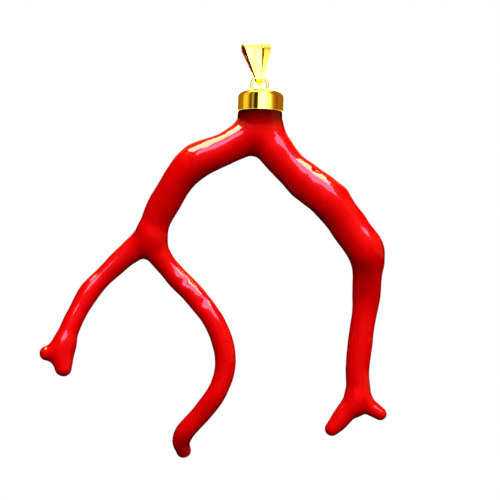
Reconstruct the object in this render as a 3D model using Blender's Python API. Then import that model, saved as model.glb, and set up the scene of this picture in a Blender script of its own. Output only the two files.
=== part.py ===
"""A red coral branch set as a pendant: five pieces of coral, a gold cap, its ring and a folded gold bail.

It hangs as it is worn. X runs to the viewer's right, Y away from the viewer and Z up, and the origin is
the top of the bail's eye, where a chain bears. Every length is in millimetres until it reaches a mesh.
"""

import math

import bmesh
import bpy
from mathutils import Matrix, Vector

MM = 0.001

# Branch, root to tips: each stop on a centre line is (across, away, up, radius).
NECK = [(0.7, 0.0, -7.5, 2.4), (0.7, 0.0, -9.2, 2.5), (0.6, 0.2, -10.5, 3.1)]
TOP_FORK = (0.3, 0.8, -12.1, 3.2)
LEFT_ARM = [
    (-4.0, -0.4, -14.6, 2.2),
    (-8.2, -0.5, -16.4, 2.6),
    (-11.1, 0.1, -19.0, 2.3),
    (-13.2, 0.9, -22.3, 2.2),
    (-14.9, 1.8, -25.4, 2.2),
]
LEFT_FORK = (-15.6, 2.3, -27.9, 2.5)
OUTER_BRANCH = [
    (-17.7, 2.5, -29.3, 1.9),
    (-20.5, 2.2, -31.7, 1.5),
    (-23.8, 1.2, -35.1, 1.5),
    (-25.6, 0.4, -38.0, 1.4),
    (-27.0, -0.4, -41.0, 1.5),
]
OUTER_TIP_FORK = (-27.9, -1.0, -43.5, 1.7)
OUTER_SIDE_TIP = [(-29.6, -1.4, -44.2, 1.3), (-31.0, -1.6, -44.4, 1.0)]
OUTER_END_TIP = [(-27.9, -1.5, -45.7, 1.7), (-27.8, -1.9, -47.5, 1.2)]
INNER_BRANCH = [
    (-14.3, 2.4, -30.2, 1.8),
    (-12.2, 2.2, -33.0, 1.7),
    (-9.3, 0.9, -35.9, 1.7),
    (-6.6, -0.5, -39.1, 1.6),
    (-5.0, -0.9, -42.7, 1.6),
    (-4.4, -0.8, -46.5, 1.5),
    (-5.5, -0.5, -49.9, 1.5),
    (-7.7, 0.1, -53.1, 1.5),
    (-10.1, 1.0, -55.8, 1.5),
    (-11.0, 1.8, -57.9, 1.4),
    (-10.8, 2.6, -60.2, 1.1),
]
RIGHT_ARM = [
    (4.4, -0.3, -17.0, 2.5),
    (7.2, -0.5, -19.7, 2.7),
    (10.4, -0.7, -22.4, 2.9),
    (13.1, -0.6, -25.8, 2.6),
    (15.9, -0.1, -29.4, 2.8),
    (16.5, 0.8, -32.6, 2.2),
    (16.2, 1.9, -36.6, 2.0),
    (15.6, 2.4, -41.6, 1.9),
    (15.0, 1.6, -47.0, 1.8),
]
FEET_FORK = (14.8, 0.8, -51.5, 2.0)
LEFT_FOOT = [(13.4, 0.5, -53.7, 1.4), (12.0, 0.2, -55.2, 1.2), (10.7, -0.1, -56.5, 1.0)]
RIGHT_FOOT = [(16.5, 0.5, -53.0, 1.4), (18.4, 0.2, -54.1, 1.3)]

# Smoothing slims a skinned skeleton a little, so its radii start larger.
SKIN_GAIN = 1.07
SMOOTHING = 2

# The branch is parted just past each fork by a thin cut: (stop before it, stop after it, share of the way).
KERF = 0.3
KERF_RADIUS = 4.5
CUTS = [
    (LEFT_ARM[0], LEFT_ARM[1], 0.25),
    (TOP_FORK, RIGHT_ARM[0], 1.0),
    (OUTER_BRANCH[0], OUTER_BRANCH[1], 0.25),
    (INNER_BRANCH[0], INNER_BRANCH[1], 0.25),
]
# The stop that tells which piece is which once they are parted.
PIECES = {
    "coral_crown": TOP_FORK,
    "coral_left_arm": LEFT_FORK,
    "coral_outer_branch": OUTER_BRANCH[3],
    "coral_inner_branch": INNER_BRANCH[5],
    "coral_right_arm": RIGHT_ARM[6],
}

# Cap: a domed gold cup, turned about its own upright axis.
CAP_X = 0.65
CAP_RIM_Z = -9.6
CAP_RADIUS = 3.36
CAP_HEIGHT = 3.2
CAP_WALL = 0.35
CAP_DOME = 1.45
CAP_ROUNDNESS = 2.8
CAP_TILT = math.radians(1.5)
CAP_SIDES = 36
DOME_STEPS = 7

# Ring: round wire, its foot cut level where it meets the dome.
RING_X = 0.5
RING_Z = -5.7
RING_RADIUS = 1.17
WIRE_RADIUS = 0.2
RING_FOOT_Z = -6.26
RING_STEPS = 44
WIRE_SIDES = 10

# Bail: a strip that narrows from its fold to its ends, bent along three flats, closed below the ring's wire.
HINGE = Vector((0.5, 0.0, -4.53))
BAIL_TWIST = math.radians(15)
LOOP_SLANT = math.radians(5)
FOLD_TILT = math.radians(6)
STRIP = 0.25
EYE_TOP = -HINGE.z
EYE_RADIUS = 0.95
LOOP_RADIUS = 0.65
LOOP_Z = -0.02
FOLD_HALF_WIDTH = 2.1
NECK_HALF_WIDTH = 0.43
FLAT_SETBACK = 0.3
TAB_RADIUS = 0.45
TAB_TOP = -0.8
FOLD_STEPS = 10

CORAL_RED = (0.72, 0.004, 0.006, 1.0)
GOLD = (0.84, 0.55, 0.16, 1.0)


def material(name, colour, roughness, metallic):
    """A Principled BSDF with one colour."""
    made = bpy.data.materials.new(name)
    made.use_nodes = True
    shader = made.node_tree.nodes["Principled BSDF"]
    shader.inputs["Base Color"].default_value = colour
    shader.inputs["Roughness"].default_value = roughness
    shader.inputs["Metallic"].default_value = metallic
    return made


def add_object(name, mesh, finish=None):
    """Put a mesh in the scene as one named piece."""
    piece = bpy.data.objects.new(name, mesh)
    bpy.context.collection.objects.link(piece)
    if finish:
        mesh.materials.append(finish)
    return piece


def finished(bm, name, finish):
    """Close a bmesh off as a smooth-shaded object."""
    bmesh.ops.recalc_face_normals(bm, faces=bm.faces)
    mesh = bpy.data.meshes.new(name)
    bm.to_mesh(mesh)
    bm.free()
    mesh.shade_smooth()
    mesh.set_sharp_from_angle(angle=math.radians(40))
    return add_object(name, mesh, finish)


def coral_skeleton():
    """The whole branch as a line drawing with a radius at each stop, thickened and smoothed."""
    points, edges = [], []

    def run(start, stops):
        """Add a chain of stops that leaves vertex number start, and return its last vertex's number."""
        for stop in stops:
            points.append(stop)
            if start is not None:
                edges.append((start, len(points) - 1))
            start = len(points) - 1
        return start

    top = run(None, [*NECK, TOP_FORK])
    left = run(top, [*LEFT_ARM, LEFT_FORK])
    outer = run(left, [*OUTER_BRANCH, OUTER_TIP_FORK])
    run(outer, OUTER_SIDE_TIP)
    run(outer, OUTER_END_TIP)
    run(left, INNER_BRANCH)
    feet = run(top, [*RIGHT_ARM, FEET_FORK])
    run(feet, LEFT_FOOT)
    run(feet, RIGHT_FOOT)

    mesh = bpy.data.meshes.new("coral")
    mesh.from_pydata([[v * MM for v in point[:3]] for point in points], edges, [])
    coral = add_object("coral", mesh)
    coral.modifiers.new("Skin", "SKIN")
    for number, point in enumerate(points):
        radius = point[3] * MM * SKIN_GAIN
        mesh.skin_vertices[0].data[number].radius = (radius, radius)
    smooth = coral.modifiers.new("Subdivision", "SUBSURF")
    smooth.levels = smooth.render_levels = SMOOTHING
    return coral


def saw_kerfs():
    """One thin disc across the branch for each cut, square to the centre line."""
    bm = bmesh.new()
    for before, after, share in CUTS:
        start, end = Vector(before[:3]), Vector(after[:3])
        turn = Vector((0, 0, 1)).rotation_difference(end - start).to_matrix().to_4x4()
        bmesh.ops.create_cone(
            bm,
            cap_ends=True,
            segments=24,
            radius1=KERF_RADIUS * MM,
            radius2=KERF_RADIUS * MM,
            depth=KERF * MM,
            matrix=Matrix.Translation(start.lerp(end, share) * MM) @ turn,
        )
    mesh = bpy.data.meshes.new("saw_kerfs")
    bm.to_mesh(mesh)
    bm.free()
    kerfs = add_object("saw_kerfs", mesh)
    kerfs.hide_render = True
    kerfs.display_type = "WIRE"
    return kerfs


def islands(bm):
    """The connected bodies of a bmesh, each as a set of its vertices."""
    left = set(bm.verts)
    while left:
        front = [left.pop()]
        body = set(front)
        while front:
            for edge in front.pop().link_edges:
                for vert in edge.verts:
                    if vert not in body:
                        body.add(vert)
                        front.append(vert)
        left -= body
        yield body


def coral_pieces(finish):
    """Grow the branch whole, saw it at its forks and name the five pieces."""
    coral, kerfs = coral_skeleton(), saw_kerfs()
    cut = coral.modifiers.new("Saw", "BOOLEAN")
    cut.operation = "DIFFERENCE"
    cut.solver = "EXACT"
    cut.object = kerfs
    grown = bpy.data.meshes.new_from_object(coral.evaluated_get(bpy.context.evaluated_depsgraph_get()))
    for used in (coral, kerfs):
        bpy.data.objects.remove(used, do_unlink=True)

    whole = bmesh.new()
    whole.from_mesh(grown)
    pieces = []
    for name, stop in PIECES.items():
        place = Vector(stop[:3]) * MM
        body = min(islands(whole), key=lambda verts: min((v.co - place).length for v in verts))
        piece = whole.copy()
        piece.verts.ensure_lookup_table()
        kept = {v.index for v in body}
        bmesh.ops.delete(piece, geom=[v for v in piece.verts if v.index not in kept], context="VERTS")
        pieces.append(finished(piece, name, finish))
    whole.free()
    return pieces


def cap(finish):
    """A cup: the outer wall and dome, then the same inside, spun about the upright axis."""

    def profile(radius, height, dome):
        """From the rim up the straight wall and over a superellipse dome, to the axis."""
        points = [(radius, 0.0)]
        for step in range(DOME_STEPS + 1):
            turn = math.pi / 2 * step / DOME_STEPS
            across = max(math.cos(turn), 0.0) ** (2 / CAP_ROUNDNESS)
            up = math.sin(turn) ** (2 / CAP_ROUNDNESS)
            points.append((radius * across, height - dome + dome * up))
        points[-1] = (0.0, height)
        return points

    outside = profile(CAP_RADIUS, CAP_HEIGHT, CAP_DOME)
    inside = profile(CAP_RADIUS - CAP_WALL, CAP_HEIGHT - CAP_WALL, CAP_DOME - CAP_WALL)
    bm = bmesh.new()
    for points in (outside, inside):
        verts = [bm.verts.new((across * MM, 0, up * MM)) for across, up in points]
        edges = [bm.edges.new(pair) for pair in zip(verts, verts[1:])]
        if points is outside:
            rim = verts[0]
        else:
            edges.append(bm.edges.new((rim, verts[0])))
        bmesh.ops.spin(
            bm,
            geom=[*verts, *edges],
            axis=(0, 0, 1),
            cent=(0, 0, 0),
            angle=math.tau,
            steps=CAP_SIDES,
            use_merge=True,
        )
    bmesh.ops.remove_doubles(bm, verts=bm.verts, dist=1e-7)
    piece = finished(bm, "cap", finish)
    piece.location = Vector((CAP_X, 0, CAP_RIM_Z)) * MM
    piece.rotation_euler = (0, CAP_TILT, 0)
    return piece


def cap_ring(finish):
    """A torus of round wire in the plane of the branch, cut off level just above the dome."""
    bm = bmesh.new()
    wire = bmesh.ops.create_circle(
        bm,
        segments=WIRE_SIDES,
        radius=WIRE_RADIUS * MM,
        matrix=Matrix.Translation((RING_RADIUS * MM, 0, 0)),
    )["verts"]
    around = list({edge for vert in wire for edge in vert.link_edges})
    bmesh.ops.spin(
        bm,
        geom=[*wire, *around],
        axis=(0, 1, 0),
        cent=(0, 0, 0),
        angle=math.tau,
        steps=RING_STEPS,
        use_merge=True,
    )
    bmesh.ops.remove_doubles(bm, verts=bm.verts, dist=1e-7)
    bmesh.ops.bisect_plane(
        bm,
        geom=[*bm.verts, *bm.edges, *bm.faces],
        plane_co=(0, 0, (RING_FOOT_Z - RING_Z) * MM),
        plane_no=(0, 0, 1),
        clear_inner=True,
    )
    bmesh.ops.holes_fill(bm, edges=[edge for edge in bm.edges if edge.is_boundary])
    piece = finished(bm, "cap_ring", finish)
    piece.location = Vector((RING_X, 0, RING_Z)) * MM
    return piece


def bail(finish):
    """A band round two rollers, the chain's eye above and the wire's loop below, with a tab under it."""
    rollers = [(EYE_TOP - EYE_RADIUS, EYE_RADIUS), (LOOP_Z, LOOP_RADIUS)]
    loop_foot = LOOP_Z - LOOP_RADIUS
    # The band leaves the larger roller where both stand equally far along its outward direction.
    slope = math.asin((EYE_RADIUS - LOOP_RADIUS) / (rollers[0][0] - rollers[1][0]))

    def half_width(up):
        """The strip narrows evenly from the top of its eye to the foot of its loop."""
        share = min(max((up - loop_foot) / (EYE_TOP - loop_foot), 0.0), 1.0)
        return NECK_HALF_WIDTH + (FOLD_HALF_WIDTH - NECK_HALF_WIDTH) * share

    stations = []
    for (up, radius), start, end in (
        (rollers[0], -slope, math.pi + slope),
        (rollers[1], math.pi + slope, math.tau - slope),
    ):
        for step in range(FOLD_STEPS + 1):
            turn = start + (end - start) * step / FOLD_STEPS
            stations.append((up, radius, math.cos(turn), math.sin(turn)))

    # It is twisted a little above its loop, so that the inside of the back half shows past the left edge.
    # Its loop is slanted a third as much: with more, its edge cuts the wire before the swing's limit. It
    # leans to the left, and its fold tilts as it leans.
    bm = bmesh.new()
    rings = []
    for up, radius, away, upward in stations:
        ring = []
        for layer, columns in ((0.0, (-1, -1 / 3, 1 / 3, 1)), (STRIP, (1, 1 / 3, -1 / 3, -1))):
            for column in columns:
                half = half_width(up + radius * upward)
                taper = (half - NECK_HALF_WIDTH) / (FOLD_HALF_WIDTH - NECK_HALF_WIDTH)
                setback = FLAT_SETBACK * taper * (1 - taper**6)
                reach = radius + layer - (setback if abs(column) == 1 else 0.0)
                place = Vector((column * half, away * reach, up + upward * reach))
                share = max(place.z / EYE_TOP, 0.0)
                twist = Matrix.Rotation(BAIL_TWIST * share, 3, "Z")
                slant = place.y * math.tan(LOOP_SLANT) * (1 - share)
                tilt = place.x * math.tan(FOLD_TILT) * share
                lean = Vector((-HINGE.x * share - slant, 0, tilt))
                ring.append(bm.verts.new((twist @ place + lean) * MM))
        rings.append(ring)
    for ring, following in zip(rings, rings[1:] + rings[:1]):
        for side in range(len(ring)):
            after = (side + 1) % len(ring)
            bm.faces.new((ring[side], ring[after], following[after], following[side]))
    piece = finished(bm, "bail", finish)

    plate = bmesh.new()
    arc = [math.pi + math.pi * step / FOLD_STEPS for step in range(FOLD_STEPS + 1)]
    outline = [
        (TAB_RADIUS * math.cos(turn), TAB_TOP + TAB_RADIUS * math.sin(turn)) for turn in arc
    ]
    face = plate.faces.new(
        [plate.verts.new(Vector((across, -STRIP, up)) * MM) for across, up in outline]
    )
    grown = bmesh.ops.extrude_face_region(plate, geom=[face])["geom"]
    bmesh.ops.translate(
        plate,
        verts=[part for part in grown if isinstance(part, bmesh.types.BMVert)],
        vec=(0, 2 * STRIP * MM, 0),
    )
    tab = finished(plate, "bail_tab", finish)
    tab.hide_render = True
    tab.display_type = "WIRE"
    tab.parent = piece
    join = piece.modifiers.new("Tab", "BOOLEAN")
    join.operation = "UNION"
    join.solver = "EXACT"
    join.object = tab

    piece.location = HINGE * MM
    return piece


for old in list(bpy.data.objects):
    bpy.data.objects.remove(old, do_unlink=True)

red = material("polished red coral", CORAL_RED, 0.12, 0.0)
gold = material("polished yellow gold", GOLD, 0.1, 1.0)
bail(gold)
# The branch, its cap and the ring swing together on the ring's wire, inside the bail.
swing = bpy.data.objects.new("swing", None)
bpy.context.collection.objects.link(swing)
swing.location = HINGE * MM
for part in [*coral_pieces(red), cap(gold), cap_ring(gold)]:
    part.parent = swing
    part.matrix_parent_inverse = Matrix.Translation(-HINGE * MM)
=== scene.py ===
"""A red coral branch pendant, hung head down from its gold cap, ring and folded bail, as in its photograph.

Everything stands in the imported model's frame: X to the viewer's right, Y away, Z up, with the origin at
the top of the bail's eye. Sizes are written in millimetres, and MM turns them to metres at the mesh.
"""

import math

import bpy
import numpy as np
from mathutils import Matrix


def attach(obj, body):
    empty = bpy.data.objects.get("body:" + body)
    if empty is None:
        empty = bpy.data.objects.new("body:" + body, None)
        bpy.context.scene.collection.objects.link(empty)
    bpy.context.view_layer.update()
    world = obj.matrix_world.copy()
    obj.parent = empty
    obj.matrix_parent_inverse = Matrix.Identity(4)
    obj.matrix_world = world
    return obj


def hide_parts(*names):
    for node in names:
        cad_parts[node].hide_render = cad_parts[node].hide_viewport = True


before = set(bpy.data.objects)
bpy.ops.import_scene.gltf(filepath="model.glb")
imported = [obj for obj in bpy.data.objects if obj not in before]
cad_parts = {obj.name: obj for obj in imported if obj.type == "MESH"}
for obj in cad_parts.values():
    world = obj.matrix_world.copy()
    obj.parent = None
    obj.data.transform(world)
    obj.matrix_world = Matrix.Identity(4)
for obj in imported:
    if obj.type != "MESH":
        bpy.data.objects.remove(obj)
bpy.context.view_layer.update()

# Camera. The photograph looks straight at the flat side of the branch, level with its middle, from close by.
# Its square frame is 72.5 mm wide in the plane of the branch, so a pixel of its 500 is 0.145 mm.
MM = 0.001
VIEW_CENTRE = (-0.87, 0.0, -29.6)
VIEW_DISTANCE = 138.0
VIEW_WIDTH = 72.5

eye = bpy.data.cameras.new("camera")
eye.sensor_width = 36.0
eye.lens = eye.sensor_width * VIEW_DISTANCE / VIEW_WIDTH
eye.clip_start = 0.005
eye.clip_end = 10.0
camera = bpy.data.objects.new("camera", eye)
camera.location = (VIEW_CENTRE[0] * MM, -VIEW_DISTANCE * MM, VIEW_CENTRE[2] * MM)
camera.rotation_euler = (math.radians(90), 0, 0)
bpy.context.scene.collection.objects.link(camera)
bpy.context.scene.camera = camera

# Coral. One branch of precious red coral, grown in one piece, ground smooth and polished until it shines.
# Every arm is round and a little lumpy, and the forks run into each other in soft fillets. It keeps some
# pin holes and shallow hollows that the polishing wheel rode over.
# Each stop on a centre line is (across, away, up, radius), root to tips.
NECK = [(0.7, 0.0, -9.4, 2.5), (0.65, 0.0, -9.8, 3.2), (0.6, 0.2, -10.5, 3.0)]
TOP_FORK = (0.4, 0.5, -12.1, 3.1)
LEFT_ARM = [
    (-4.0, -0.4, -14.7, 2.3),
    (-8.1, -0.5, -16.5, 2.55),
    (-10.95, 0.1, -19.1, 2.3),
    (-13.1, 0.9, -22.3, 2.15),
    (-14.8, 1.7, -25.4, 2.1),
]
LEFT_FORK = (-15.5, 2.1, -27.7, 2.2)
OUTER_BRANCH = [
    (-17.7, 2.3, -29.2, 1.9),
    (-20.5, 2.1, -31.7, 1.5),
    (-23.8, 1.2, -35.1, 1.5),
    (-25.6, 0.4, -38.0, 1.4),
    (-27.0, -0.4, -41.0, 1.45),
]
OUTER_TIP_FORK = (-27.7, -1.0, -43.3, 1.55)
OUTER_SIDE_TIP = [(-29.1, -1.4, -44.15, 1.2), (-30.0, -1.6, -44.35, 1.0)]
OUTER_END_TIP = [(-27.7, -1.5, -45.1, 1.5), (-27.6, -1.9, -46.5, 1.2)]
INNER_BRANCH = [
    (-14.3, 2.3, -30.2, 1.7),
    (-12.2, 2.5, -33.0, 1.6),
    (-9.3, 1.4, -35.9, 1.6),
    (-6.6, 0.5, -39.1, 1.55),
    (-4.95, 0.2, -42.7, 1.55),
    (-4.45, 0.1, -46.5, 1.5),
    (-5.45, 0.0, -49.95, 1.45),
    (-7.7, 0.4, -53.1, 1.45),
    (-10.05, 1.0, -55.8, 1.4),
    (-10.95, 1.8, -57.7, 1.35),
    (-10.75, 2.6, -59.2, 1.15),
]
RIGHT_ARM = [
    (4.4, -0.3, -17.0, 2.5),
    (7.2, -0.5, -19.7, 2.65),
    (10.4, -0.7, -22.5, 2.85),
    (13.0, -0.6, -25.9, 2.5),
    (15.7, -0.1, -29.4, 2.75),
    (16.3, 0.8, -32.6, 2.2),
    (16.1, 1.9, -36.6, 1.95),
    (15.6, 2.0, -41.6, 1.85),
    (15.0, 1.8, -47.0, 1.75),
]
FEET_FORK = (14.85, 1.6, -51.5, 1.8)
LEFT_FOOT = [(13.3, 1.4, -53.2, 1.5), (12.0, 1.1, -54.7, 1.2), (11.0, 0.8, -55.7, 1.0)]
RIGHT_FOOT = [(16.1, 1.5, -52.2, 1.4), (17.2, 1.3, -53.0, 1.25), (18.0, 1.1, -53.5, 1.05)]
SPAN_STEPS = 10
TUBE_SIDES = 24
FILLET = 1.1
VOXEL = 0.17
SLIDES = 5
EVENINGS = 2
POINTS_AT_ONCE = 3000


def centre_line(stops, lead=0):
    """A Catmull-Rom curve through the stops: in each span, the cubic whose ends are two neighbouring stops
    and whose slope there is half the step between the stops on either side. The first lead spans only
    steer the curve and are left out. Returns rows of (across, away, up, radius)."""
    p = np.array(stops, float)
    p = np.vstack([2 * p[0] - p[1], p, 2 * p[-1] - p[-2]])
    before, start, end, after = p[:-3, None], p[1:-2, None], p[2:-1, None], p[3:, None]
    t = np.linspace(0, 1, SPAN_STEPS, endpoint=False)[None, :, None]
    rows = 0.5 * (
        2 * start
        + (end - before) * t
        + (2 * before - 5 * start + 4 * end - after) * t**2
        + (3 * start - before - 3 * end + after) * t**3
    )
    return np.vstack([rows[lead:].reshape(-1, 4), p[-2:-1]])


GROWTH = [
    centre_line([*NECK, TOP_FORK, *LEFT_ARM, LEFT_FORK, *INNER_BRANCH]),
    centre_line([NECK[-1], TOP_FORK, *RIGHT_ARM, FEET_FORK, *LEFT_FOOT], lead=1),
    centre_line([LEFT_ARM[-1], LEFT_FORK, *OUTER_BRANCH, OUTER_TIP_FORK, *OUTER_END_TIP], lead=1),
    centre_line([OUTER_BRANCH[-1], OUTER_TIP_FORK, *OUTER_SIDE_TIP], lead=1),
    centre_line([RIGHT_ARM[-1], FEET_FORK, *RIGHT_FOOT], lead=1),
]


def tube(line, sides):
    """A round profile carried along a centre line. Each ring lies square to the line, between the viewer's
    direction and the line's own side, and the ends are rounded by rings that shrink as a circle does.
    Returns the vertices and the faces, with the two ends closed."""
    ends = []
    for place, inward in ((line[0], line[0, :3] - line[1, :3]), (line[-1], line[-1, :3] - line[-2, :3])):
        turn = np.radians([30, 60, 80])[:, None]
        outward = inward / np.linalg.norm(inward)
        centres = place[:3] + outward * place[3] * np.sin(turn)
        ends.append(np.hstack([centres, place[3] * np.cos(turn)]))
    line = np.vstack([ends[0][::-1], line, ends[1]])
    tangent = np.gradient(line[:, :3], axis=0)
    side = np.cross(tangent, (0, 1, 0))
    side /= np.linalg.norm(side, axis=1, keepdims=True)
    lift = np.cross(side, tangent)
    lift /= np.linalg.norm(lift, axis=1, keepdims=True)
    round_ = np.linspace(0, math.tau, sides, endpoint=False)
    ring = np.cos(round_)[None, :, None] * side[:, None] + np.sin(round_)[None, :, None] * lift[:, None]
    verts = (line[:, None, :3] + line[:, None, 3:] * ring).reshape(-1, 3)
    row, column = np.mgrid[: len(line) - 1, :sides]
    here, beside = row * sides + column, row * sides + (column + 1) % sides
    quads = np.stack([here, beside, beside + sides, here + sides], -1).reshape(-1, 4).tolist()
    last = (len(line) - 1) * sides
    return verts, [*quads, list(range(sides))[::-1], list(range(last, last + sides))]


def distance_to_tube(points, line):
    """How far each point is outside the round tube on one centre line, and the direction away from the
    line: the least, over the line's short segments, of the distance to the segment less its radius there."""
    start, step, radius = line[:-1, :3], np.diff(line[:, :3], axis=0), line[:, 3]
    away = points[:, None] - start[None]
    share = np.clip((away * step).sum(-1) / (step**2).sum(-1), 0, 1)
    away -= share[..., None] * step
    reach = np.sqrt((away**2).sum(-1))
    outside = reach - (radius[:-1] + share * np.diff(radius))
    nearest = outside.argmin(1)
    each = np.arange(len(points))
    return outside[each, nearest], away[each, nearest] / np.maximum(reach[each, nearest], 1e-6)[:, None]


def coral_relief(points):
    """How proud the worn surface stands of the plain tubes: long swells and fine ripples, each a sum of
    sine waves in every direction, then knobs and hollows that fall off as a bell curve round their place."""
    seed = np.random.default_rng(11)
    proud = np.zeros(len(points))
    for count, shortest, longest, height in ((12, 4.5, 9.0, 0.03), (16, 1.6, 3.0, 0.003)):
        heading = seed.normal(size=(count, 3))
        heading /= np.linalg.norm(heading, axis=1, keepdims=True)
        pitch = math.tau / seed.uniform(shortest, longest, count)
        start = seed.uniform(0, math.tau, count)
        proud += height * np.sin(points @ (heading * pitch[:, None]).T + start).sum(1)
    # (across, away, up, spread, height)
    for across, away, up, spread, height in (
        (12.9, -0.4, -20.9, 0.9, 0.30),
        (18.3, 0.4, -31.9, 0.8, 0.15),
        (15.6, -0.6, -24.6, 1.0, 0.35),
        (-9.6, -0.2, -14.3, 1.1, 0.15),
        (-7.0, -2.0, -14.8, 0.45, -0.14),
        (8.7, -2.3, -18.3, 0.45, -0.14),
        (10.8, -2.6, -19.4, 0.5, -0.12),
        (-10.3, 0.3, -34.1, 0.5, -0.16),
        (-7.6, -0.6, -37.1, 0.55, -0.2),
    ):
        gap = ((points - (across, away, up)) ** 2).sum(1)
        proud += height * np.exp(-gap / (2 * spread**2))
    return proud


def coral_surface(points):
    """How far each point is outside the polished coral, and the way out. Two tubes closer in distance than
    FILLET run together: the smaller distance is lowered by a parabola of their difference."""
    outside, outward = distance_to_tube(points, GROWTH[0])
    for line in GROWTH[1:]:
        other, way = distance_to_tube(points, line)
        blend = np.maximum(FILLET - np.abs(outside - other), 0) / FILLET
        share = np.where(outside < other, blend / 2, 1 - blend / 2)[:, None]
        outside = np.minimum(outside, other) - blend**2 * FILLET / 4
        outward = outward * (1 - share) + way * share
    return outside - coral_relief(points), outward


def new_piece(name, verts, faces, finish):
    """A smooth-shaded mesh object from vertices in millimetres."""
    mesh = bpy.data.meshes.new(name)
    mesh.from_pydata((np.asarray(verts) * MM).tolist(), [], faces)
    mesh.validate()
    mesh.shade_smooth()
    if finish:
        mesh.materials.append(finish)
    piece = bpy.data.objects.new(name, mesh)
    bpy.context.scene.collection.objects.link(piece)
    return piece


def coral_branch(finish):
    """The tubes fused to one skin of small even squares, whose points then slide to the coral's surface."""
    verts, faces = [], []
    for line in GROWTH:
        tube_verts, tube_faces = tube(line, TUBE_SIDES)
        offset = sum(len(block) for block in verts)
        verts.append(tube_verts)
        faces += [[corner + offset for corner in face] for face in tube_faces]
    tubes = new_piece("coral tubes", np.vstack(verts), faces, None)
    fuse = tubes.modifiers.new("Fuse", "REMESH")
    fuse.mode = "VOXEL"
    fuse.voxel_size = VOXEL * MM
    skin = bpy.data.meshes.new_from_object(tubes.evaluated_get(bpy.context.evaluated_depsgraph_get()))
    bpy.data.objects.remove(tubes, do_unlink=True)

    points = np.empty(len(skin.vertices) * 3)
    skin.vertices.foreach_get("co", points)
    points = points.reshape(-1, 3) / MM
    for _ in range(SLIDES):
        for block in np.array_split(np.arange(len(points)), len(points) // POINTS_AT_ONCE + 1):
            outside, outward = coral_surface(points[block])
            steep = np.maximum((outward**2).sum(1), 0.25)
            points[block] -= outward * (outside / steep)[:, None]
    skin.vertices.foreach_set("co", (points * MM).ravel())
    skin.update()
    skin.name = "coral"
    skin.shade_smooth()
    # The way each point faces is evened out with its neighbours', so that no squares show in the polish.
    facing = np.empty(len(points) * 3)
    skin.vertices.foreach_get("normal", facing)
    facing = facing.reshape(-1, 3)
    edges = np.empty(len(skin.edges) * 2, int)
    skin.edges.foreach_get("vertices", edges)
    edges = edges.reshape(-1, 2)
    for _ in range(EVENINGS):
        total = facing.copy()
        for axis in range(3):
            total[:, axis] += np.bincount(edges[:, 0], facing[edges[:, 1], axis], len(points))
            total[:, axis] += np.bincount(edges[:, 1], facing[edges[:, 0], axis], len(points))
        facing = total / np.linalg.norm(total, axis=1, keepdims=True)
    skin.normals_split_custom_set_from_vertices(facing.tolist())
    skin.materials.clear()
    skin.materials.append(finish)
    piece = bpy.data.objects.new("coral", skin)
    bpy.context.scene.collection.objects.link(piece)
    return piece


def linear(code, alpha=1.0):
    """An sRGB hex colour as the linear values Blender's sockets take."""
    parts = [int(code[i : i + 2], 16) / 255 for i in (1, 3, 5)]
    return (*[c / 12.92 if c <= 0.04045 else ((c + 0.055) / 1.055) ** 2.4 for c in parts], alpha)


def add_node(tree, kind, links=None, **settings):
    """Add one node: settings name its inputs or its own properties, links join its inputs to sockets."""
    node = tree.nodes.new(kind)
    for name, value in settings.items():
        label = name.replace("_", " ")
        if label in node.inputs:
            node.inputs[label].default_value = value
        else:
            setattr(node, name, value)
    for name, source in (links or {}).items():
        tree.links.new(source, node.inputs[name])
    return node


def new_material(name):
    """An empty node material with its Principled shader, and the tree it stands in."""
    made = bpy.data.materials.new(name)
    made.use_nodes = True
    return made, made.node_tree, made.node_tree.nodes["Principled BSDF"]


# Polished precious coral: lime as hard as a shell, dyed through by the polyps that grew it. The red is so
# deep that no other colour comes back from it, and the wheel leaves a gloss like glass over a softer sheen.
CORAL_RED = "#d60001"
CORAL_DEEP = "#c00001"
# Painted shade below the cap's rim.
PAINTED_RIM_SHADE = "#180000"


def polished_coral():
    made, tree, shader = new_material("polished red coral")
    place = add_node(tree, "ShaderNodeTexCoord").outputs["Object"]
    # Growth left the red a little deeper in patches 3 mm or so across.
    patches = add_node(tree, "ShaderNodeTexNoise", {"Vector": place}, Scale=330.0, Detail=2.0)
    red = add_node(
        tree,
        "ShaderNodeMix",
        {"Factor": patches.outputs["Fac"]},
        data_type="RGBA",
    )
    red.inputs[6].default_value = linear(CORAL_DEEP)
    red.inputs[7].default_value = linear(CORAL_RED)
    # Painted shade: the coral just below the cap's rim is coloured near black, fading back to its red over 4
    # mm, for the cap's shadow.
    height = add_node(tree, "ShaderNodeSeparateXYZ", {"Vector": place}).outputs["Z"]
    unshaded = add_node(
        tree,
        "ShaderNodeMapRange",
        {"Value": height},
        interpolation_type="SMOOTHSTEP",
        From_Min=-0.0092,
        From_Max=-0.0132,
    )
    rim_shaded = add_node(
        tree, "ShaderNodeMix", {"Factor": unshaded.outputs["Result"], 7: red.outputs[2]}, data_type="RGBA"
    )
    rim_shaded.inputs[6].default_value = linear(PAINTED_RIM_SHADE)
    tree.links.new(rim_shaded.outputs[2], shader.inputs["Base Color"])
    shader.inputs["IOR"].default_value = 1.6
    shader.inputs["Specular IOR Level"].default_value = 0.03
    shader.inputs["Roughness"].default_value = 0.3
    shader.inputs["Coat Weight"].default_value = 1.0
    shader.inputs["Coat Roughness"].default_value = 0.06
    shader.inputs["Coat IOR"].default_value = 1.6
    # Pin holes: about one to every 2 mm, of which the deepest few show.
    holes = add_node(tree, "ShaderNodeTexVoronoi", {"Vector": place}, Scale=520.0)
    pits = add_node(
        tree, "ShaderNodeMapRange", {"Value": holes.outputs["Distance"]}, From_Min=0.0, From_Max=0.16
    )
    bump = add_node(
        tree, "ShaderNodeBump", {"Height": pits.outputs["Result"]}, Strength=0.25, Distance=0.00006
    )
    tree.links.new(bump.outputs["Normal"], shader.inputs["Normal"])
    tree.links.new(bump.outputs["Normal"], shader.inputs["Coat Normal"])
    return made


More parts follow.
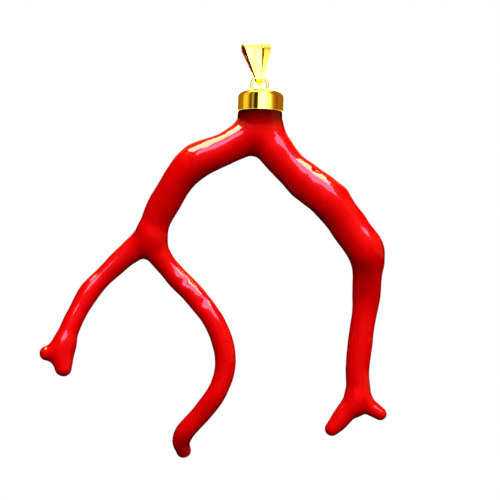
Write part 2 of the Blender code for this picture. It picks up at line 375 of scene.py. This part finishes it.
coral = coral_branch(polished_coral())
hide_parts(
    "coral_crown",
    "coral_left_arm",
    "coral_outer_branch",
    "coral_inner_branch",
    "coral_right_arm",
)
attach(coral, "pendant")

# Cap. A drawn cup of gold sheet 0.35 mm thick, domed on top and straight-sided, glued over the coral's neck.
# It is turned on the lathe and polished like a mirror, with its rim rounded over, and it sits a hair askew.
CAP_X = 0.65
CAP_RIM_Z = -9.6
CAP_RADIUS = 3.36
CAP_HEIGHT = 3.2
CAP_WALL = 0.35
CAP_LIP = 0.07
CAP_DOME = 1.4
CAP_ROUNDNESS = 3.0
CAP_TILT = math.radians(1.5)
CAP_SIDES = 144


def cap_surface():
    """A profile turned about the upright axis: up the wall and over a superellipse dome (a corner whose
    two distances, each to the power of CAP_ROUNDNESS, sum to one), then back down the same way inside."""
    turn = np.linspace(0, math.pi / 2, 28)

    def wall_and_dome(radius, height, dome):
        across = np.cos(turn).clip(0) ** (2 / CAP_ROUNDNESS)
        up = np.sin(turn) ** (2 / CAP_ROUNDNESS)
        return np.stack([radius * across, height - dome + dome * up], 1)

    lip = np.radians(np.linspace(180, 360, 16))
    soft = np.where(lip < math.radians(270), CAP_RADIUS - CAP_WALL + CAP_LIP, CAP_RADIUS - CAP_LIP)
    rim = np.stack([soft + CAP_LIP * np.cos(lip), CAP_LIP + CAP_LIP * np.sin(lip)], 1)
    outside = wall_and_dome(CAP_RADIUS, CAP_HEIGHT, CAP_DOME)
    inside = wall_and_dome(CAP_RADIUS - CAP_WALL, CAP_HEIGHT - CAP_WALL, CAP_DOME - CAP_WALL)
    profile = np.vstack([inside[-2::-1], rim, outside[:-1]])
    around = np.linspace(0, math.tau, CAP_SIDES, endpoint=False)
    verts = np.stack(
        [
            profile[:, None, 0] * np.cos(around),
            profile[:, None, 0] * np.sin(around),
            np.repeat(profile[:, None, 1], CAP_SIDES, 1),
        ],
        -1,
    ).reshape(-1, 3)
    level, askew = math.cos(CAP_TILT), math.sin(CAP_TILT)
    lean = np.array([[level, 0, -askew], [0, 1, 0], [askew, 0, level]])
    verts = verts @ lean + (CAP_X, 0, CAP_RIM_Z)
    row, column = np.mgrid[: len(profile) - 1, :CAP_SIDES]
    here, beside = row * CAP_SIDES + column, row * CAP_SIDES + (column + 1) % CAP_SIDES
    quads = np.stack([here, beside, beside + CAP_SIDES, here + CAP_SIDES], -1).reshape(-1, 4).tolist()
    last = (len(profile) - 1) * CAP_SIDES
    return verts, [*quads, list(range(CAP_SIDES))[::-1], list(range(last, last + CAP_SIDES))]


# Polished yellow gold: cast and rolled findings, buffed bright. The metal itself is the only colour, and
# the buff leaves fine hairlines that blur what it mirrors a little.
GOLD_YELLOW = "#f8c850"


def polished_gold():
    made, tree, shader = new_material("polished yellow gold")
    place = add_node(tree, "ShaderNodeTexCoord").outputs["Object"]
    shader.inputs["Base Color"].default_value = linear(GOLD_YELLOW)
    shader.inputs["Metallic"].default_value = 1.0
    shader.inputs["Roughness"].default_value = 0.07
    buffed = add_node(tree, "ShaderNodeTexNoise", {"Vector": place}, Scale=900.0, Detail=3.0)
    bump = add_node(
        tree, "ShaderNodeBump", {"Height": buffed.outputs["Fac"]}, Strength=0.12, Distance=0.00003
    )
    tree.links.new(bump.outputs["Normal"], shader.inputs["Normal"])
    return made


gold = polished_gold()
cap_verts, cap_faces = cap_surface()
cap = new_piece("gold_cap", cap_verts, cap_faces, gold)
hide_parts("cap")
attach(cap, "pendant")

# Ring. Round gold wire 0.4 mm thick, bent to a ring, soldered by its foot to the top of the cap's dome.
RING_X = 0.5
RING_Z = -5.7
RING_RADIUS = 1.17
WIRE_RADIUS = 0.2


def ring_surface(steps=120, sides=20):
    """A circle of wire carried round a circle: the torus of RING_RADIUS and WIRE_RADIUS, upright."""
    around = np.linspace(0, math.tau, steps, endpoint=False)[:, None]
    wire = np.linspace(0, math.tau, sides, endpoint=False)[None]
    reach = RING_RADIUS + WIRE_RADIUS * np.cos(wire)
    verts = np.stack(
        [
            reach * np.sin(around) + RING_X,
            np.sin(wire) * WIRE_RADIUS + 0 * around,
            reach * np.cos(around) + RING_Z,
        ],
        -1,
    ).reshape(-1, 3)
    row, column = np.mgrid[:steps, :sides]
    after, beside = (row + 1) % steps, (column + 1) % sides
    quads = np.stack(
        [row * sides + column, row * sides + beside, after * sides + beside, after * sides + column], -1
    ).reshape(-1, 4)
    return verts, quads[:, ::-1].tolist()


ring_verts, ring_faces = ring_surface()
ring = new_piece("gold_ring", ring_verts, ring_faces, gold)
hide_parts("cap_ring")
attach(ring, "pendant")

# Bail. One tapered strip of gold 0.25 mm thick, creased along its length into three flats, folded in half
# over the eye where the chain runs, pinched round the ring's wire and closed, with a small tab below.
HINGE = (0.5, 0.0, -4.53)
BAIL_TWIST = math.radians(19)
LOOP_SLANT = math.radians(5)
FOLD_TILT = math.radians(6)
STRIP = 0.25
EYE_TOP = -HINGE[2]
EYE_RADIUS = 0.95
LOOP_RADIUS = 0.65
LOOP_Z = -0.02
FOLD_HALF_WIDTH = 2.1
NECK_HALF_WIDTH = 0.43
FLAT_SETBACK = 0.3
CREASE_WIDTH = 0.1
CREASE_DEPTH = 0.09
TAB_RADIUS = 0.45
TAB_TOP = -0.8
TAB_ROUND = 0.08
TAB_LEAN = 0.36


def bail_surface(steps=36):
    """The strip's section carried round two rollers, the eye above and the loop below, joined by straight
    runs. The section is three flats wide, with a groove along each crease of its outside, and its edges
    stand back from the middle flat by FLAT_SETBACK times the taper. The whole leans, tilts its fold and
    turns about the upright axis in proportion to its height."""
    eye_z, loop_foot = EYE_TOP - EYE_RADIUS, LOOP_Z - LOOP_RADIUS
    slope = math.asin((EYE_RADIUS - LOOP_RADIUS) / (eye_z - LOOP_Z))
    eye_turn = np.linspace(-slope, math.pi + slope, steps)
    loop_turn = np.linspace(math.pi + slope, math.tau - slope, steps)
    turn = np.concatenate([eye_turn, loop_turn])
    centre = np.repeat([eye_z, LOOP_Z], steps)
    radius = np.repeat([EYE_RADIUS, LOOP_RADIUS], steps)
    # Straight runs are cut into short steps too, so that the taper and the twist stay smooth along them.
    path = np.stack([centre, radius, np.cos(turn), np.sin(turn)], 1)
    run = np.linspace(0, 1, 14)[1:-1, None]
    path = np.vstack(
        [
            path[:steps],
            path[steps - 1] * (1 - run) + path[steps] * run,
            path[steps:],
            path[-1] * (1 - run) + path[0] * run,
        ]
    )
    centre, radius, away, upward = path[:, :1], path[:, 1:2], path[:, 2:3], path[:, 3:4]
    share = ((centre + radius * upward - loop_foot) / (EYE_TOP - loop_foot)).clip(0, 1)
    half = NECK_HALF_WIDTH + (FOLD_HALF_WIDTH - NECK_HALF_WIDTH) * share
    g = CREASE_WIDTH
    inside = [-1, -1 / 3, 1 / 3, 1]
    outside = [1, 1 / 3 + g, 1 / 3, 1 / 3 - g, -1 / 3 + g, -1 / 3, -1 / 3 - g, -1]
    column = np.array(inside + outside)[None]
    groove = share * np.array([0, 0, 0, 0, 0, 0, CREASE_DEPTH, 0, 0, CREASE_DEPTH / 2, 0, 0])[None]
    layer = np.array([0.0] * 4 + [STRIP] * 8)[None] - groove
    setback = FLAT_SETBACK * share * (1 - share**6)
    reach = radius + layer - setback * (np.abs(column) == 1)
    x, y, z = column * half, away * reach, centre + upward * reach
    height = (z / EYE_TOP).clip(0)
    spin = BAIL_TWIST * height
    verts = np.stack(
        [
            x * np.cos(spin) - y * (np.sin(spin) + math.tan(LOOP_SLANT) * (1 - height)) - HINGE[0] * height,
            x * np.sin(spin) + y * np.cos(spin),
            z + x * math.tan(FOLD_TILT) * height,
        ],
        -1,
    ) + HINGE
    rows, sides = len(path), column.size
    row, side = np.mgrid[:rows, :sides]
    after, beside = (row + 1) % rows, (side + 1) % sides
    quads = np.stack(
        [row * sides + side, row * sides + beside, after * sides + beside, after * sides + side], -1
    )
    return verts.reshape(-1, 3), quads.reshape(-1, 4)[:, ::-1].tolist()


def tab_surface(steps=24):
    """A half disc with rounded edges: rings that shrink toward each face as a quarter circle does."""
    turn = np.linspace(math.pi, math.tau, steps)
    outline = np.stack([np.cos(turn), np.sin(turn)], 1)
    quarter = np.radians(np.linspace(0, 90, 5))
    inset = TAB_ROUND * (1 - np.sin(quarter))
    depth = STRIP - TAB_ROUND * (1 - np.cos(quarter))
    inset, depth = np.concatenate([inset, inset[::-1]]), np.concatenate([-depth, depth[::-1]])
    rings = []
    for shrink, away in zip(inset, depth):
        flat = outline * (TAB_RADIUS - shrink)
        rings.append(np.stack([flat[:, 0], away - flat[:, 1] * TAB_LEAN, flat[:, 1] + TAB_TOP], 1))
    verts = np.vstack(rings) + HINGE
    rows = len(rings)
    row, column = np.mgrid[: rows - 1, :steps]
    here, beside = row * steps + column, row * steps + (column + 1) % steps
    quads = np.stack([here, beside, beside + steps, here + steps], -1).reshape(-1, 4).tolist()
    last = (rows - 1) * steps
    return verts, [*quads, list(range(steps))[::-1], list(range(last, last + steps))]


# Gold inside the fold, where no buff reaches, left rough. Its dark red-brown is painted shade for the dim
# inside of the fold, and the bright gold flecks in it are painted glints.
PAINTED_FOLD_SHADE = "#701008"
PAINTED_FOLD_GLINT = "#f0b040"


def shaded_fold_gold():
    made, tree, shader = new_material("gold inside the fold with painted shade and glints")
    place = add_node(tree, "ShaderNodeTexCoord").outputs["Object"]
    fleck_noise = add_node(tree, "ShaderNodeTexNoise", {"Vector": place}, Scale=1100.0, Detail=2.0)
    glint_flecks = add_node(
        tree, "ShaderNodeMapRange", {"Value": fleck_noise.outputs["Fac"]}, From_Min=0.55, From_Max=0.62
    )
    # Painted shade with painted glints: dark red-brown, flecked with bright gold.
    tint = add_node(tree, "ShaderNodeMix", {"Factor": glint_flecks.outputs["Result"]}, data_type="RGBA")
    tint.inputs[6].default_value = linear(PAINTED_FOLD_SHADE)
    tint.inputs[7].default_value = linear(PAINTED_FOLD_GLINT)
    tree.links.new(tint.outputs[2], shader.inputs["Base Color"])
    shader.inputs["Metallic"].default_value = 1.0
    shader.inputs["Roughness"].default_value = 0.4
    return made


bail_verts, bail_faces = bail_surface()
tab_verts, tab_faces = tab_surface()
tab_faces = [[corner + len(bail_verts) for corner in face] for face in tab_faces]
bail = new_piece("gold_bail", np.vstack([bail_verts, tab_verts]), [*bail_faces, *tab_faces], gold)
bail.data.materials.append(shaded_fold_gold())
for index in range(len(bail_faces)):
    # Of the section's twelve sides, the first three are the inside of the strip.
    bail.data.polygons[index].material_index = int(index % 12 < 3)
bail.data.set_sharp_from_angle(angle=math.radians(14))
edges = bail.modifiers.new("Edges", "BEVEL")
edges.width = 0.03 * MM
edges.segments = 2
edges.limit_method = "ANGLE"
edges.angle_limit = math.radians(60)
edges.harden_normals = True
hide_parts("bail")
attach(bail, "bail")

# Studio. The pendant hangs clear of everything in front of white. A warm softbox overhead and a cool one
# before it show in the coral's polish, other lights bring up its red, one of them for its back, and plain
# cards stand round the gold for it to mirror.
FLOOR_Z = -160.0
FLOOR_RADIUS = 300.0
ROOM = 300.0
ROOM_CENTRE = (-5.0, 0.0, -28.0)

scene = bpy.context.scene
scene.view_settings.view_transform = "Standard"
scene.view_settings.look = "None"

only_gold = bpy.data.collections.new("lit by the cards")
for piece in (cap, ring, bail):
    only_gold.objects.link(piece)
only_coral = bpy.data.collections.new("lit by the softboxes")
only_coral.objects.link(coral)


def softbox(name, azimuth, elevation, width, height, colour, radiance, lit, mirrored):
    """A rectangular light at ROOM mm from the pendant, facing it. Azimuth is from the camera's side, to the
    right, and elevation is above the horizon, past 90 degrees behind the pendant. Width and height are
    the degrees that it spans, and its power follows from the brightness asked of its face. It either
    shows in the polish or lights the red below it."""
    lamp = bpy.data.lights.new(name, "AREA")
    lamp.shape = "RECTANGLE"
    lamp.size = 2 * ROOM * math.tan(math.radians(width / 2)) * MM
    lamp.size_y = 2 * ROOM * math.tan(math.radians(height / 2)) * MM
    lamp.energy = radiance * math.pi * lamp.size * lamp.size_y
    lamp.color = linear(colour)[:3]
    box = bpy.data.objects.new(name, lamp)
    side, up = math.radians(azimuth), math.radians(elevation)
    aim = np.array([math.sin(side) * math.cos(up), -math.cos(side) * math.cos(up), math.sin(up)])
    box.location = (np.array(ROOM_CENTRE) + aim * ROOM) * MM
    box.rotation_euler = (math.radians(90) - up, 0, side)
    box.visible_camera = False
    box.visible_glossy = mirrored
    box.visible_diffuse = not mirrored
    box.light_linking.receiver_collection = lit
    scene.collection.objects.link(box)


softbox("warm softbox overhead", 0, 83, 76, 36, "#ffe1b4", 16.0, only_coral, True)
softbox("cool softbox in front of it", 13, 46, 70, 28, "#c2bcff", 5.4, only_coral, True)
softbox("warm light behind", 0, 130, 90, 60, "#ff5a10", 1.3, only_coral, True)
softbox("warm wall to the right", 90, 10, 60, 40, "#ffa050", 0.3, only_coral, True)
softbox("key", 18, 57, 90, 66, "#ffffff", 5.0, only_coral, False)
softbox("low fill", 22, 6, 80, 36, "#ffffff", 1.1, only_coral, False)
softbox("fill for the back", 180, 25, 70, 60, "#ffffff", 2.4, only_coral, False)


def gold_cards():
    """A sphere round the pendant that only the gold mirrors. Its brightness follows azimuth: bright from
    the front round to the right, a dark gap to the left of the front, then yellow, and dim behind. Just
    below the level it is several times brighter, then it gives way to pale paper, and overhead to a
    ceiling."""
    columns, rows = 180, 60
    azimuth = np.linspace(-180, 180, columns, endpoint=False)[None]
    elevation = np.linspace(-89, 89, rows)[:, None]
    side, up = np.radians(azimuth), np.radians(elevation)
    verts = np.stack(
        [np.sin(side) * np.cos(up), -np.cos(side) * np.cos(up), np.sin(up) + 0 * side], -1
    ).reshape(-1, 3) * (ROOM * 1.3) + ROOM_CENTRE
    row, column = np.mgrid[: rows - 1, :columns]
    here, beside = row * columns + column, row * columns + (column + 1) % columns
    quads = np.stack([here, here + columns, beside + columns, beside], -1).reshape(-1, 4).tolist()
    quads += [list(range(columns)), list(range((rows - 1) * columns, rows * columns))[::-1]]
    # (azimuth, red, green, blue)
    card = np.array(
        [
            (-180, 2.5, 2.5, 2.0),
            (-164, 2.5, 2.5, 2.0),
            (-156, 0.3, 0.16, 0.02),
            (-98, 0.5, 0.3, 0.03),
            (-91, 1.1, 1.1, 0.3),
            (-70, 1.1, 1.05, 0.2),
            (-60, 0.5, 0.4, 0.05),
            (-53, 0.16, 0.1, 0.01),
            (-46, 0.16, 0.1, 0.01),
            (-42, 0.6, 0.6, 0.15),
            (-37, 0.6, 0.6, 0.15),
            (-31, 0.05, 0.03, 0.0),
            (-14, 0.03, 0.02, 0.0),
            (-10, 4.5, 4.5, 4.5),
            (0, 7.5, 7.5, 7.5),
            (20, 8.0, 8.0, 8.0),
            (30, 4.5, 4.5, 4.5),
            (47, 2.2, 2.2, 2.2),
            (56, 0.9, 0.9, 0.4),
            (65, 0.6, 0.4, 0.05),
            (75, 0.4, 0.2, 0.02),
            (88, 0.3, 0.1, 0.01),
            (100, 0.45, 0.2, 0.03),
            (156, 0.3, 0.16, 0.05),
            (164, 2.5, 2.5, 2.0),
            (180, 2.5, 2.5, 2.0),
        ]
    )
    glow = np.stack([np.interp(azimuth + 0 * elevation, card[:, 0], card[:, c]) for c in (1, 2, 3)], -1)
    below_level = np.clip((-elevation - 9) / 4, 0, 1)
    glow = (glow * (1 + 4 * below_level)[..., None]).reshape(-1, 3)
    paper = (np.clip((-elevation - 18) / 8, 0, 1) + 0 * azimuth).reshape(-1, 1)
    glow = glow * (1 - paper) + np.array([1.8, 1.9, 0.7]) * paper
    ceiling = (np.clip((elevation - 55) / 15, 0, 1) + 0 * azimuth).reshape(-1, 1)
    glow = glow * (1 - ceiling) + np.array([3.0, 3.0, 2.5]) * ceiling
    cards = new_piece("cards", verts, quads, None)
    tint = cards.data.color_attributes.new("glow", "FLOAT_COLOR", "POINT")
    tint.data.foreach_set("color", np.hstack([glow, np.ones_like(paper)]).ravel())
    made = bpy.data.materials.new("white card")
    made.use_nodes = True
    tree = made.node_tree
    tree.nodes.clear()
    glow_from = add_node(tree, "ShaderNodeAttribute", attribute_name="glow")
    shine = add_node(tree, "ShaderNodeEmission", {"Color": glow_from.outputs["Color"]})
    add_node(tree, "ShaderNodeOutputMaterial", {"Surface": shine.outputs["Emission"]})
    cards.data.materials.append(made)
    cards.visible_camera = cards.visible_shadow = cards.visible_transmission = False
    cards.visible_diffuse = False
    cards.light_linking.receiver_collection = only_gold
    return cards


def pale_floor():
    """A plain round floor far below, out of the photograph's frame, seen only from raised views."""
    turn = np.linspace(0, math.tau, 96, endpoint=False)
    verts = np.stack([np.cos(turn) * FLOOR_RADIUS, np.sin(turn) * FLOOR_RADIUS, np.full(96, FLOOR_Z)], 1)
    made, tree, shader = new_material("matt white paper")
    shader.inputs["Base Color"].default_value = linear("#f4f3f0")
    shader.inputs["Roughness"].default_value = 0.9
    shader.inputs["Emission Color"].default_value = linear("#ffffff")
    shader.inputs["Emission Strength"].default_value = 0.85
    floor = new_piece("floor", verts, [list(range(96))], made)
    floor.visible_glossy = floor.visible_diffuse = False
    return floor


gold_cards()
pale_floor()

world = bpy.data.worlds.new("white room")
world.use_nodes = True
scene.world = world
sky = world.node_tree
sky.nodes.clear()
seen = add_node(sky, "ShaderNodeLightPath")
white = add_node(sky, "ShaderNodeBackground", Strength=1.0, Color=(1, 1, 1, 1))
dim = add_node(sky, "ShaderNodeBackground", Strength=0.02, Color=(1, 1, 1, 1))
room = add_node(
    sky,
    "ShaderNodeMixShader",
    {0: seen.outputs["Is Camera Ray"], 1: dim.outputs[0], 2: white.outputs[0]},
)
add_node(sky, "ShaderNodeOutputWorld", {"Surface": room.outputs[0]})
